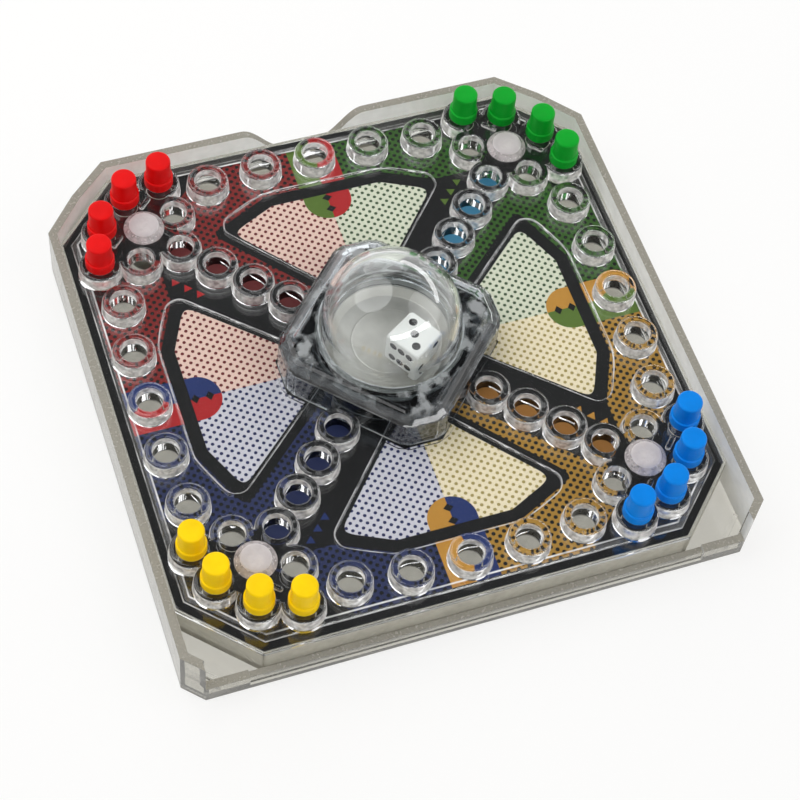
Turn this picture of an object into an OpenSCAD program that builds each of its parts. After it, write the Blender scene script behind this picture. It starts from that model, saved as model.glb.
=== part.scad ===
// Pop-up dice board game, travel size: a clear case tray, a game unit with a
// printed card under a clear moulded deck, a press-down dice dome and sixteen pegs.
// Origin: centre of the tray's underside. +X right, +Y back, +Z up. Millimetres.

/* [Track layout] */
// Distance between neighbouring spaces along a side
track_pitch = 14.9; // [14:0.1:17]
// From the last space in a side row to the corner space, along the side
end_to_corner = 11.3; // [10.8:0.1:14]
// From a corner space to the unit's edge, along the side
corner_to_edge = 30.1; // [29:0.1:36]
// From the unit's edge to the side row
edge_to_row = 9.2; // [8.8:0.1:11]
// How far the two end spaces of a row step in towards the middle
row_end_step = 1.3; // [0:0.1:3]
// From the unit's edge to the corner space
edge_to_corner = 18.1; // [17:0.1:20]
// From the unit's edges to the first home space, the same both ways
edge_to_home = 28.9; // [28.5:0.1:31]
// Step between home spaces, the same both ways
home_step = 7.5; // [7.2:0.1:8.2]
// From the near edge to the two outer start spaces
start_outer_in = 7.8; // [7.2:0.1:9]
// From the far edge to the two outer start spaces
start_outer_along = 28.9; // [28:0.1:31]
// From the near edge to the two inner start spaces
start_inner_in = 10.9; // [10.2:0.1:12]
// From the far edge to the two inner start spaces
start_inner_along = 19.0; // [18:0.1:20.5]
// From the unit's edges to a corner rivet, the same both ways
edge_to_rivet = 21.3; // [20.5:0.1:22]

/* [Peg spaces] */
// Height of the ring around a space above the deck
ring_h = 4; // [3:0.1:6]
// Radius of a ring at its top
ring_r = 5.4; // [5:0.05:5.6]
// How much wider a ring is at its foot
ring_draft = 0.3; // [0:0.05:0.4]
// Height of the rings' and plateaus' feet, which belong to the deck's plate
foot_h = 0.8; // [0.4:0.1:1.2]
// Radius of the peg hole
hole_r = 3.3; // [3.1:0.05:3.7]
// Gap between a peg's stem and its hole, on the radius
peg_gap = 0.25; // [0.15:0.05:0.5]
// Length of the two raised bars in each corner
bar_l = 4.4; // [3:0.1:6]
// Width of those bars
bar_w = 1.4; // [0.8:0.1:2]
// Height of those bars
bar_h = 0.8; // [0.3:0.1:1.5]
// Distance of the bars from the unit's cut corner
bar_in = 14.3; // [13.8:0.1:15.5]
// Distance of the bars to each side of the diagonal
bar_side = 7; // [6.8:0.1:8]

/* [Deck] */
// Thickness of the clear deck inside its step
deck_t = 1.6; // [1.2:0.1:2.6]
// Thickness of the thinner rim outside the step
rim_t = 0.8; // [0.6:0.1:1.1]
// Width of the thinner rim
rim_w = 4.4; // [3.5:0.1:6]
// Width of the sloping face between the two
rim_slope = 1.6; // [0.6:0.1:2]
// How much is cut off each of the unit's corners, along both sides
unit_cut = 17; // [13:0.2:18]
// Lip round the deck's underside that holds the card in place
skirt_w = 0.6; // [0.5:0.1:1.2]
// Depth of the four sunk panels
panel_depth = 0.5; // [0.2:0.1:0.8]
// From the unit's edge to the outer side of a panel
edge_to_panel = 15.8; // [15.4:0.1:20]
// Half length of a panel's straight outer side
panel_flat = 17; // [12:0.5:20]
// Angle at which a panel's outer side turns in
panel_turn = 24.7; // [15:0.5:35]
// Distance between a panel's slanting side and the board's diagonal
panel_side = 9.2; // [9:0.1:12]
// How much those sides lean away from the diagonal
panel_lean = 3; // [0:0.5:5]
// From the unit's edge to the blunt ends of a panel
edge_to_panel_end = 30.7; // [29.5:0.1:33]
// Land of the deck left round the housing's foot
housing_land = 1; // [0.5:0.1:1.6]

/* [Printed card] */
// Thickness of the card
card_t = 0.5; // [0.3:0.05:1]
// Gap between the card and the lip round it
card_gap = 0.2; // [0.05:0.05:0.4]
// How much wider a hole in the card is than the peg hole, on the radius
card_hole_gap = 0.1; // [0:0.05:0.4]

/* [Base pan] */
// Height of the pan under the card
pan_h = 8.5; // [8:0.1:12]
// Thickness of the pan's floor
pan_floor = 1.4; // [1:0.1:2.2]
// Thickness of the pan's walls
pan_wall = 1.6; // [1.2:0.1:2.4]
// Radius of the bosses for the corner rivets
rivet_boss_r = 3.6; // [3.2:0.1:4.2]
// Radius of the bosses for the dome housing's screws
screw_boss_r = 3.4; // [3:0.1:4]
// Height of those bosses above the pan's underside
screw_boss_h = 3.6; // [3.2:0.1:5]
// Outer radius of the tube that carries the snap disc
anvil_r = 7; // [5:0.1:9]
// Wall of that tube
anvil_wall = 1.6; // [1:0.1:2.5]
// Gap between that tube and the deck, on the radius
anvil_gap = 0.4; // [0.2:0.05:0.8]

/* [Corner rivets] */
// Radius of a rivet's head at its foot
rivet_head_r = 5.2; // [4.8:0.05:5.4]
// Radius of the flat on top of the head
rivet_flat_r = 3.6; // [2.8:0.1:4]
// Height of the head
rivet_head_h = 2; // [1.2:0.1:3]
// Radius of the shank
rivet_shank_r = 1.9; // [1.5:0.05:2.2]
// Length of the shank in the pan's boss
rivet_grip = 4.6; // [3:0.1:5.5]
// Gap round the shank, on the radius
rivet_gap = 0.15; // [0.1:0.05:0.3]
// Height of the head's straight edge
rivet_edge_h = 0.5; // [0.3:0.05:0.8]

/* [Dome housing] */
// From the middle to the housing's four long sides
housing_side = 23.5; // [23.2:0.1:26]
// From the middle to the housing's four short corner sides
housing_tip = 28.2; // [27.8:0.1:31]
// How much the edges between those sides are taken off
housing_soft = 0.6; // [0.2:0.1:1]
// Height of the housing above the deck
housing_h = 11; // [10.5:0.1:13]
// Height of the sloping shoulder round the top
shoulder_h = 2.6; // [1:0.1:3]
// How far the shoulder slopes in
shoulder_in = 2.8; // [1:0.1:3]
// Thickness of the housing's walls
housing_wall = 1.4; // [1.2:0.1:1.8]
// Thickness of the housing's top
housing_top = 1.8; // [1.4:0.1:2.4]
// Wall of the guide tube round the dome's flange
guide_wall = 1; // [0.8:0.1:1.4]
// Gap between the housing and the last home rings
housing_gap = 0.2; // [0.1:0.05:0.4]
// Radius of the four screw posts
post_r = 2.4; // [2.2:0.1:2.6]
// Gap between a post and the housing's wall
post_wall_gap = 1.4; // [1:0.1:1.8]
// Gap between a post and the holes that it passes through, on the radius
post_gap = 0.3; // [0.2:0.05:0.5]
// Radius of the screws' shanks
screw_r = 0.9; // [0.7:0.05:1.1]
// Radius of the screws' heads
screw_head_r = 1.9; // [1.6:0.1:2.2]
// Height of the screws' heads
screw_head_h = 1.2; // [0.9:0.1:1.4]
// How deep the screws go into the posts
screw_bite = 6; // [4:0.5:8]
// How deep the screws' heads lie in the pan's underside
screw_sink = 0.2; // [0.1:0.05:0.4]
// Gap round the screws' heads and shanks, on the radius
screw_gap = 0.25; // [0.15:0.05:0.4]

/* [Dome and snap disc] */
// Outer radius of the dome
dome_r = 17.5; // [16.8:0.1:17.9]
// Height of the dome's straight wall above the housing
dome_straight = 4; // [3:0.1:6]
// Thickness of the dome
dome_wall = 1.4; // [1:0.1:1.8]
// How far the flange stands out of the dome's wall
flange_out = 1.3; // [1:0.1:1.6]
// Thickness of the flange
flange_t = 1.4; // [1:0.1:1.8]
// Gap round the dome and its flange, on the radius
dome_gap = 0.3; // [0.2:0.05:0.4]
// Gap between the flange and the housing's top when the dome is up
flange_seat = 0.05; // [0.02:0.01:0.2]
// How far the dome can be pressed
dome_travel = 2; // [1.5:0.1:2.2]
// Height of the snap disc when it is pressed flat
disc_flat_h = 0.6; // [0.5:0.1:0.9]
// Thickness of the snap disc
disc_t = 0.35; // [0.2:0.05:0.5]
// Radius of the disc's flat floor
disc_floor_r = 14.6; // [14.5:0.1:14.8]
// Height of the disc's floor above the deck
disc_rise = 3.4; // [3:0.1:3.6]

/* [Die] */
// Edge of the die
die_w = 10; // [8:0.1:10.5]
// How much is rounded off each of the die's corners
die_corner_off = 0.6; // [0.3:0.05:0.9]
// Radius of a spot
spot_r = 1.1; // [0.8:0.05:1.15]
// Depth of a spot
spot_depth = 0.25; // [0.1:0.05:0.4]
// Distance of a spot from the middle of its face
spot_step = 2.5; // [2.4:0.1:2.8]
// Where the die lies, to the right of the dome's middle
die_x = 4.1; // [-4.1:0.1:4.2]
// Where the die lies, in front of the dome's middle
die_front = 5.6; // [0:0.1:5.8]
// How far the die has turned
die_turn = 31.8; // [0:0.1:90]

/* [Pegs] */
// Height of a peg above its ring
peg_h = 9; // [7:0.1:12]
// Radius of the peg's collar
peg_collar_r = 3.65; // [3.6:0.05:4.2]
// Height of the collar
peg_collar_h = 3; // [2:0.1:4]
// Radius of the peg's head
peg_head_r = 3.2; // [2.6:0.05:3.3]
// Height of the slope between them
peg_slope = 0.5; // [0.2:0.1:1]
// Length of the stem
peg_stem = 4.6; // [3:0.1:5]
// Rounding of the peg's edges
peg_soft = 0.4; // [0.2:0.05:0.6]
// Taper of the collar's foot and of the head
peg_taper = 0.1; // [0:0.05:0.2]
// Bevel at the stem's end
peg_tip = 0.3; // [0.1:0.05:0.5]

/* [Tray] */
// Height of the tray's side and back walls
tray_h = 16.4; // [14:0.1:22]
// Thickness of the tray's floor
tray_floor = 1.8; // [1.4:0.1:3]
// Thickness of the tray's walls
tray_wall = 2.2; // [1.8:0.1:3]
// Gap between the unit and the tray's walls
tray_gap = 0.3; // [0.2:0.05:0.8]
// Height of the low front wall
front_h = 4.9; // [3.5:0.1:8]
// Height of the front wall beside the corners
front_end_h = 6; // [4:0.1:9]
// Length of those higher ends, from the tray's corner
front_end_l = 15.7; // [14:0.1:20]
// How far the low front wall is set back
front_back = 0.6; // [0.3:0.1:1]
// Cut off each front corner
front_cut = 4.8; // [3:0.1:6]
// Angle between a back corner's two faces and a straight cut
back_fan = 3.8; // [2:0.1:8]
// Half width of the finger notch at the rim
notch_top = 17; // [12:0.5:24]
// Half width of the finger notch at its bottom
notch_bottom = 5; // [3:0.5:9]
// Depth of the finger notch
notch_depth = 9.4; // [6:0.1:11]
// Length of the ribs in the front corners
rib_l = 8.4; // [5:0.1:11]
// Width of those ribs
rib_w = 1.2; // [0.8:0.1:2]
// Height of those ribs above the floor
rib_h = 1.6; // [0.8:0.1:3]
// From the board's middle line to those ribs, along the diagonal
rib_in = 11.5; // [11:0.1:13]

/* [Hidden] */
$fn = 64;
eps = 0.01;
// How far a cut reaches past the face that it opens
over = 1;
sides = [0, 90, 180, 270];

// The unit's half width follows the track's layout, and the tray follows the unit.
unit_half = 2 * track_pitch + end_to_corner + corner_to_edge;
unit_corner = (2 * unit_half - unit_cut) / sqrt(2);
tray_half = unit_half + tray_gap + tray_wall;
reach = 3 * tray_half;

// Heights, from the table up
pan_z = tray_floor;
pan_inside_z = pan_z + pan_floor;
card_z = pan_z + pan_h;
deck_z = card_z + card_t;
rim_top_z = deck_z + rim_t;
deck_top_z = deck_z + deck_t;
foot_top_z = deck_top_z + foot_h;
ring_top_z = deck_top_z + ring_h;
housing_top_z = deck_top_z + housing_h;
shoulder_z = housing_top_z - shoulder_h;
disc_z = deck_top_z + disc_rise;
disc_h = disc_flat_h + dome_travel;
disc_rim_z = disc_z + disc_h;
die_z = disc_z + disc_t;

// Places that more than one piece uses
card_half = unit_half - skirt_w - card_gap;
post_place = housing_tip - housing_wall - post_r - post_wall_gap;
screw_boss_top = pan_z + screw_boss_h;
screw_z = pan_z + screw_sink;
rivet_end_z = card_z - rivet_grip;
flange_r = dome_r + flange_out;
flange_top_z = housing_top_z - housing_top - flange_seat;
flange_z = flange_top_z - flange_t;
guide_r = flange_r + dome_gap;
dome_inner_r = dome_r - dome_wall;
dome_centre_z = housing_top_z + dome_straight;
rivet_place = unit_half - edge_to_rivet;
stem_r = hole_r - peg_gap;
die_ball_r = die_w / 2 * sqrt(3) - die_corner_off;

// The housing's eight long faces, and the narrow ones between them
function housing_face(a) = a % 90 == 0 ? housing_tip : housing_side;
housing_edge = housing_tip * cos(22.5) + (housing_side * sqrt(2) - housing_tip) * sin(22.5);

function row_place(k) = unit_half - edge_to_row - (abs(k) == 2 ? row_end_step : 0);
function home_place(k) = unit_half - edge_to_home - k * home_step;

// One side's track spaces: a row of five and the two corner spaces beside it
side_spaces = [for (k = [-2 : 2]) [k * track_pitch, row_place(k)]];
corner_spaces = [
    [unit_half - edge_to_corner, unit_half - corner_to_edge],
    [unit_half - corner_to_edge, unit_half - edge_to_corner]
];
home_spaces = [for (k = [0 : 3]) [home_place(k), home_place(k)]];
start_spaces = [
    [unit_half - start_outer_in, unit_half - start_outer_along],
    [unit_half - start_inner_in, unit_half - start_inner_along],
    [unit_half - start_inner_along, unit_half - start_inner_in],
    [unit_half - start_outer_along, unit_half - start_outer_in]
];
corner_group = concat(corner_spaces, start_spaces, home_spaces);
open_spaces = concat(side_spaces, corner_spaces, start_spaces);
plateau = concat(start_spaces, [corner_spaces[1], home_spaces[0], corner_spaces[0]]);

// ---- shared shapes ----

// Everything on the near side of a line at distance d, whose normal points at angle a
module half_plane(a, d) {
    rotate(a) translate([d - reach, -reach / 2]) square(reach);
}

// The same in space, for a face that slopes in by run between z1 and z2
module sloped_half(a, d, run, z0, z1, z2) {
    rotate(a) rotate([90, 0, 0])
        linear_extrude(reach, center = true)
            polygon([[-reach, z0], [d, z0], [d, z1], [d - run, z2], [-reach, z2]]);
}

// A square with its four corners cut
module cut_square(half, corner) {
    intersection() {
        square(2 * half, center = true);
        rotate(45) square(2 * corner, center = true);
    }
}

module unit_outline(inset = 0) {
    cut_square(unit_half - inset, unit_corner - inset);
}

module at_each(places) {
    for (a = sides) rotate(a) for (p = places) translate(p) children();
}

// ---- tray ----

module tray_outline(inset = 0) {
    half = tray_half - inset;
    front_corner = (2 * tray_half - front_cut) / sqrt(2) - inset;
    // the back corners' faces clear the ends of the unit's cut corners
    back_corner = unit_corner * cos(back_fan) + unit_cut / sqrt(2) * sin(back_fan)
        + tray_gap + tray_wall - inset;
    intersection() {
        square(2 * half, center = true);
        half_plane(-45, front_corner);
        half_plane(-135, front_corner);
        intersection_for (a = [45 - back_fan, 45 + back_fan, 135 - back_fan, 135 + back_fan])
            half_plane(a, back_corner);
    }
}

// The finger notch: a smooth curve down from the rim on both sides
module notch_profile() {
    steps = 8;
    function fall(k) = notch_depth * (1 + cos(180 * k / steps)) / 2;
    function out(k) = notch_bottom + (notch_top - notch_bottom) * k / steps;
    polygon(concat(
        [for (k = [0 : steps]) [out(k), tray_h - fall(k)]],
        [[notch_top, tray_h + over], [-notch_top, tray_h + over]],
        [for (k = [steps : -1 : 0]) [-out(k), tray_h - fall(k)]]
    ));
}

module front_corner_rib() {
    rib_place = (2 * tray_half - rib_in) / sqrt(2);
    rotate(-45) translate([rib_place, 0, tray_floor - eps])
        translate([-rib_w / 2, -rib_l / 2, 0]) cube([rib_w, rib_l, rib_h + eps]);
}

module carry_tray() {
    low_half = tray_half - front_end_l;
    color([0.86, 0.87, 0.85, 0.5]) {
        difference() {
            linear_extrude(tray_h) tray_outline();
            translate([0, 0, tray_floor]) linear_extrude(tray_h) tray_outline(tray_wall);
            // the front wall is lower than the others between the two corners
            translate([-tray_half + front_cut, -tray_half - over, front_end_h])
                cube([2 * (tray_half - front_cut), tray_wall + 2 * over, tray_h]);
            translate([-low_half, -tray_half - over, front_h])
                cube([2 * low_half, tray_wall + 2 * over, tray_h]);
            translate([-low_half, -tray_half - over, tray_floor])
                cube([2 * low_half, over + front_back, tray_h]);
            translate([0, tray_half + over, 0]) rotate([90, 0, 0])
                linear_extrude(tray_wall + 2 * over) notch_profile();
        }
        front_corner_rib();
        mirror([1, 0, 0]) front_corner_rib();
    }
}

// ---- game unit ----

module screw_places() {
    for (a = sides) rotate(a) translate([post_place, 0, 0]) children();
}

module rivet_places() {
    for (a = sides) rotate(a) translate([rivet_place, rivet_place, 0]) children();
}

module base_pan() {
    color([0.9, 0.91, 0.9, 0.5]) difference() {
        union() {
            difference() {
                translate([0, 0, pan_z]) linear_extrude(pan_h) unit_outline();
                translate([0, 0, pan_inside_z]) linear_extrude(pan_h) unit_outline(pan_wall);
            }
            rivet_places() translate([0, 0, pan_z + eps]) cylinder(h = pan_h - eps, r = rivet_boss_r);
            screw_places() translate([0, 0, pan_z + eps])
                cylinder(h = screw_boss_h - eps, r = screw_boss_r);
            translate([0, 0, pan_z + eps]) cylinder(h = disc_z - pan_z - eps, r = anvil_r);
        }
        translate([0, 0, pan_inside_z]) cylinder(h = disc_z, r = anvil_r - anvil_wall);
        rivet_places() translate([0, 0, rivet_end_z - rivet_gap])
            cylinder(h = pan_h, r = rivet_shank_r + rivet_gap);
        screw_places() {
            translate([0, 0, -eps])
                cylinder(h = screw_z + screw_head_h + eps, r = screw_head_r + screw_gap);
            cylinder(h = reach, r = screw_r + screw_gap);
        }
    }
}

// Holes that the posts, the rivets and the snap disc's tube pass through
module through_holes(extra = 0) {
    screw_places() cylinder(h = reach, r = post_r + post_gap + extra);
    rivet_places() cylinder(h = reach, r = rivet_shank_r + rivet_gap + extra);
    cylinder(h = reach, r = anvil_r + anvil_gap + extra);
}

module printed_card() {
    color([0.16, 0.16, 0.2]) difference() {
        translate([0, 0, card_z]) linear_extrude(card_t)
            unit_outline(unit_half - card_half);
        at_each(open_spaces) cylinder(h = reach, r = hole_r + card_hole_gap);
        through_holes(card_hole_gap);
    }
}

// A sunk panel between two home rows, on the back side
module panel_outline() {
    outer = unit_half - edge_to_panel;
    turned = [panel_flat, outer] * [sin(panel_turn), cos(panel_turn)];
    end_turn = 15;
    intersection() {
        half_plane(90, outer);
        half_plane(90 - panel_turn, turned);
        half_plane(90 + panel_turn, turned);
        half_plane(panel_lean - 45, -panel_side);
        half_plane(225 - panel_lean, -panel_side);
        half_plane(end_turn, unit_half - edge_to_panel_end);
        half_plane(180 - end_turn, unit_half - edge_to_panel_end);
    }
}

// The thick middle of the deck, with its sloping edge
module deck_middle() {
    intersection_for (a = [0 : 45 : 315])
        sloped_half(a, (a % 90 == 0 ? unit_half : unit_corner) - rim_w + rim_slope,
            rim_slope, deck_z, rim_top_z, deck_top_z);
}

module raised_bars() {
    for (a = sides) rotate(a + 45) for (s = [-1, 1])
        translate([unit_corner - bar_in, s * bar_side, ring_top_z - eps])
            translate([-bar_w / 2, -bar_l / 2, 0]) cube([bar_w, bar_l, bar_h + eps]);
}

// The rings round some of the spaces, between two heights
module rings(places, z0, z1) {
    function wall_r(z) = ring_r + ring_draft * (ring_top_z - z) / (ring_top_z - deck_z);
    at_each(places) translate([0, 0, z0]) cylinder(h = z1 - z0, r1 = wall_r(z0), r2 = wall_r(z1));
}

module corner_plateaus(z0, z1) {
    for (a = sides) rotate(a) translate([0, 0, z0]) linear_extrude(z1 - z0) polygon(plateau);
}

// The deck's plate, with the feet of everything that stands on it
module peg_deck() {
    color([0.92, 0.94, 0.95, 0.45]) difference() {
        union() {
            deck_middle();
            translate([0, 0, deck_z]) linear_extrude(rim_t) unit_outline();
            // lip round the card
            translate([0, 0, card_z]) linear_extrude(card_t + eps) difference() {
                unit_outline();
                unit_outline(skirt_w);
            }
            difference() {
                union() {
                    rings(concat(side_spaces, corner_group), deck_z + eps, foot_top_z);
                    corner_plateaus(deck_z + eps, foot_top_z);
                }
                // the housing stands here, close beside the last home rings
                housing_block(-housing_gap, deck_top_z, housing_top_z);
            }
        }
        at_each(concat(side_spaces, corner_group)) cylinder(h = reach, r = hole_r);
        for (a = sides) rotate(a) difference() {
            translate([0, 0, deck_top_z - panel_depth]) linear_extrude(ring_h) panel_outline();
            housing_block(-housing_land, 0, reach);
        }
        through_holes();
    }
}

// The rings of the four side rows, above their feet
module track_rings() {
    color([0.92, 0.94, 0.95, 0.45]) difference() {
        rings(side_spaces, foot_top_z, ring_top_z);
        at_each(side_spaces) cylinder(h = reach, r = hole_r);
    }
}

// The four corner groups of sockets: start spaces, corner spaces and home row
module corner_sockets() {
    color([0.92, 0.94, 0.95, 0.45]) difference() {
        union() {
            difference() {
                union() {
                    rings(corner_group, foot_top_z, ring_top_z);
                    corner_plateaus(foot_top_z, ring_top_z);
                }
                housing_block(-housing_gap, deck_top_z, housing_top_z);
            }
            raised_bars();
        }
        at_each(corner_group) cylinder(h = reach, r = hole_r);
        through_holes();
    }
}

// The housing's outline as a block, taken in by inset
module housing_block(inset, z0, z1) {
    translate([0, 0, z0]) linear_extrude(z1 - z0)
        intersection_for (a = [0 : 45 : 315]) half_plane(a, housing_face(a) - inset);
}

// The housing's outside, or its hollow when it is taken in and down
module housing_form(inset, z0, drop) {
    top = housing_top_z - drop;
    shoulder = shoulder_z - drop * 0.5;
    intersection_for (a = [0 : 22.5 : 337.5])
        sloped_half(a, (a % 45 == 0 ? housing_face(a) : housing_edge - housing_soft) - inset,
            shoulder_in, z0, shoulder, top);
}

module popper_housing() {
    color([0.8, 0.83, 0.86, 0.5]) difference() {
        union() {
            difference() {
                housing_form(0, deck_top_z, 0);
                housing_form(housing_wall, deck_top_z - over, housing_top);
            }
            intersection() {
                translate([0, 0, deck_top_z])
                    cylinder(h = housing_h - housing_top + eps, r = guide_r + guide_wall);
                housing_form(housing_wall / 2, deck_top_z - over, housing_top / 2);
            }
            screw_places() translate([0, 0, screw_boss_top])
                cylinder(h = shoulder_z - screw_boss_top + shoulder_h / 2, r = post_r);
        }
        translate([0, 0, deck_top_z - over]) cylinder(h = housing_h - housing_top + over, r = guide_r);
        cylinder(h = reach, r = dome_r + dome_gap);
        screw_places() cylinder(h = screw_boss_top + screw_bite + screw_gap, r = screw_r);
    }
}

module popper_dome() {
    color([0.85, 0.9, 0.93, 0.4]) difference() {
        union() {
            translate([0, 0, disc_rim_z]) cylinder(h = dome_centre_z - disc_rim_z, r = dome_r);
            translate([0, 0, flange_z]) cylinder(h = flange_t, r = flange_r);
            intersection() {
                translate([0, 0, dome_centre_z]) sphere(r = dome_r);
                translate([0, 0, dome_centre_z + reach / 2 - eps]) cube(reach, center = true);
            }
        }
        translate([0, 0, disc_rim_z - over])
            cylinder(h = dome_centre_z - disc_rim_z + over, r = dome_inner_r);
        translate([0, 0, dome_centre_z]) sphere(r = dome_inner_r);
    }
}

module snap_disc() {
    color([0.62, 0.62, 0.6]) translate([0, 0, disc_z]) rotate_extrude() polygon([
        [0, 0], [disc_floor_r, 0], [dome_inner_r, disc_h - disc_t], [flange_r, disc_h - disc_t],
        [flange_r, disc_h], [dome_inner_r - disc_t, disc_h], [disc_floor_r - disc_t, disc_t],
        [0, disc_t]
    ]);
}

module spots(n) {
    s = spot_step;
    places = n == 1 ? [[0, 0]]
        : n == 2 ? [[s, s], [-s, -s]]
        : n == 3 ? [[s, s], [0, 0], [-s, -s]]
        : n == 4 ? [[s, s], [-s, s], [s, -s], [-s, -s]]
        : n == 5 ? [[s, s], [-s, s], [0, 0], [s, -s], [-s, -s]]
        : [[s, s], [s, 0], [s, -s], [-s, s], [-s, 0], [-s, -s]];
    ball = (spot_r * spot_r + spot_depth * spot_depth) / (2 * spot_depth);
    for (p = places) translate([p[0], p[1], die_w / 2 + ball - spot_depth]) sphere(r = ball, $fn = 32);
}

module die() {
    color([0.97, 0.97, 0.95]) translate([die_x, -die_front, die_z + die_w / 2]) rotate(die_turn)
        difference() {
            intersection() {
                cube(die_w, center = true);
                sphere(r = die_ball_r);
            }
            spots(3);
            rotate([180, 0, 0]) spots(4);
            rotate([0, -90, 0]) spots(6);
            rotate([0, 90, 0]) spots(1);
            rotate([90, 0, 0]) spots(2);
            rotate([-90, 0, 0]) spots(5);
        }
}

module housing_screws() {
    recess = [screw_head_r * 1.2, screw_head_r / 5, screw_head_h];
    color([0.55, 0.55, 0.57]) screw_places() difference() {
        union() {
            translate([0, 0, screw_z]) cylinder(h = screw_head_h, r = screw_head_r);
            translate([0, 0, screw_z + eps])
                cylinder(h = screw_boss_top + screw_bite - screw_z - eps, r = screw_r);
        }
        // a cross recess, half as deep as the head
        for (a = [0, 90]) rotate(a) translate([0, 0, screw_z]) cube(recess, center = true);
    }
}

module corner_rivets() {
    // the head's slope has a corner halfway up, nearer to its edge than to its flat
    corner_r = rivet_head_r - (rivet_head_r - rivet_flat_r) * 0.4;
    corner_z = (rivet_edge_h + rivet_head_h) * 0.45;
    color([0.93, 0.9, 0.92]) rivet_places() {
        translate([0, 0, ring_top_z]) rotate_extrude() polygon([
            [0, 0], [rivet_head_r, 0], [rivet_head_r, rivet_edge_h], [corner_r, corner_z],
            [rivet_flat_r, rivet_head_h], [0, rivet_head_h]
        ]);
        translate([0, 0, rivet_end_z]) cylinder(h = ring_top_z - rivet_end_z + eps, r = rivet_shank_r);
    }
}

// ---- pegs ----

module peg(quarter, k) {
    slope_top = peg_collar_h + peg_slope;
    rotate(quarter) translate(start_spaces[k - 1]) translate([0, 0, ring_top_z])
        rotate_extrude() polygon([
            [0, -peg_stem], [stem_r - peg_tip, -peg_stem], [stem_r, peg_tip - peg_stem], [stem_r, 0],
            [peg_collar_r - peg_taper, 0], [peg_collar_r, peg_soft],
            [peg_collar_r, peg_collar_h - peg_soft / 2], [peg_collar_r - peg_taper, peg_collar_h],
            [peg_head_r, slope_top], [peg_head_r - peg_taper, peg_h - peg_soft],
            [peg_head_r - peg_taper - peg_soft, peg_h], [0, peg_h]
        ]);
}

red = [0.93, 0.06, 0.05];
green = [0, 0.62, 0.16];
blue = [0, 0.48, 0.82];
yellow = [1, 0.8, 0];

carry_tray();
base_pan();
printed_card();
peg_deck();
track_rings();
corner_sockets();
popper_housing();
popper_dome();
snap_disc();
die();
housing_screws();
corner_rivets();
for (k = [1 : 4]) {
    color(red) peg(90, k);
    color(green) peg(0, k);
    color(blue) peg(270, k);
    color(yellow) peg(180, k);
}
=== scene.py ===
import math

import bmesh
import bpy
from mathutils import Matrix, Vector


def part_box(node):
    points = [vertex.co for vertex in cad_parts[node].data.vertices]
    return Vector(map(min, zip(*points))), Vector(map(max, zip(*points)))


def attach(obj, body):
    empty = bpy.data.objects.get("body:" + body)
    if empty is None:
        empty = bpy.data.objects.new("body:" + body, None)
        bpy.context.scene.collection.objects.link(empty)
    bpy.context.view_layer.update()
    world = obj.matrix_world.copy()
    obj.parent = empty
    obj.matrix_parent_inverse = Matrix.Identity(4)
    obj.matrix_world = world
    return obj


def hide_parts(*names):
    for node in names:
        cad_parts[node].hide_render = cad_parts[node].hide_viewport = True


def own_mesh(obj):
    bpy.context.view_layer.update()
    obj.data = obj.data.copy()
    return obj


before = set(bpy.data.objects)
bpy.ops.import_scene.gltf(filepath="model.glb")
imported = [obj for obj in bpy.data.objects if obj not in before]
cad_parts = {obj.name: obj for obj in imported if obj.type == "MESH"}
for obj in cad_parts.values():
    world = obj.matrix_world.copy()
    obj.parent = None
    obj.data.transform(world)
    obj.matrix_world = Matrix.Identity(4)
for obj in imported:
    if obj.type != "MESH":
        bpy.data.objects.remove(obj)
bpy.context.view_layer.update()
print("frame loaded")

mm = 0.001
quarters = (0, 90, 180, 270)


# Small helpers

def linearColour(code, alpha=1.0):
    channels = [int(code[i:i + 2], 16) / 255 for i in (1, 3, 5)]
    return [c / 12.92 if c <= 0.04045 else ((c + 0.055) / 1.055) ** 2.4 for c in channels] + [alpha]


def nodeAdder(tree, prefix="ShaderNode"):
    # the returned function adds a node with its settings, values and links; "Math ADD" sets the operation
    def add(kind, *inputs, output=0, named=None, **settings):
        kind, *operation = kind.split()
        node = tree.nodes.new(prefix + kind)
        if operation:
            node.operation = operation[0]
        for name, value in settings.items():
            setattr(node, name, value)
        for key, value in [*enumerate(inputs), *(named or {}).items()]:
            if isinstance(value, bpy.types.NodeSocket):
                tree.links.new(value, node.inputs[key])
            elif value is not None:
                node.inputs[key].default_value = value
        return node.outputs[output] if node.outputs else node
    return add


def newMaterial(name):
    material = bpy.data.materials.new(name)
    material.use_nodes = True
    material.node_tree.nodes.clear()
    return material, nodeAdder(material.node_tree)


# Noise with grains of a size in millimetres
def noise(add, position, size, detail):
    return add("TexNoise", named={"Vector": position, "Scale": 1 / (size * mm), "Detail": detail})


def bumps(add, height, depth, strength=1.0):
    return add("Bump", named={"Strength": strength, "Distance": depth * mm, "Height": height})


def turned(point, degrees):
    c, s = math.cos(math.radians(degrees)), math.sin(math.radians(degrees))
    return (point[0] * c - point[1] * s, point[0] * s + point[1] * c)


def atQuarters(points):
    return [turned(p, a) for a in quarters for p in points]


# The polygon inside several lines, each given by its normal's angle and its distance
def outlineOf(lines, reach=200):
    points = [(-reach, -reach), (reach, -reach), (reach, reach), (-reach, reach)]
    for degrees, distance in lines:
        nx, ny = turned((1, 0), degrees)
        kept = []
        for p, q in zip(points, points[1:] + points[:1]):
            a, b = nx * p[0] + ny * p[1] - distance, nx * q[0] + ny * q[1] - distance
            if a <= 0:
                kept.append(p)
            if a * b < 0:
                kept.append((p[0] + (q[0] - p[0]) * a / (a - b), p[1] + (q[1] - p[1]) * a / (a - b)))
        points = kept
    return points


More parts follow.
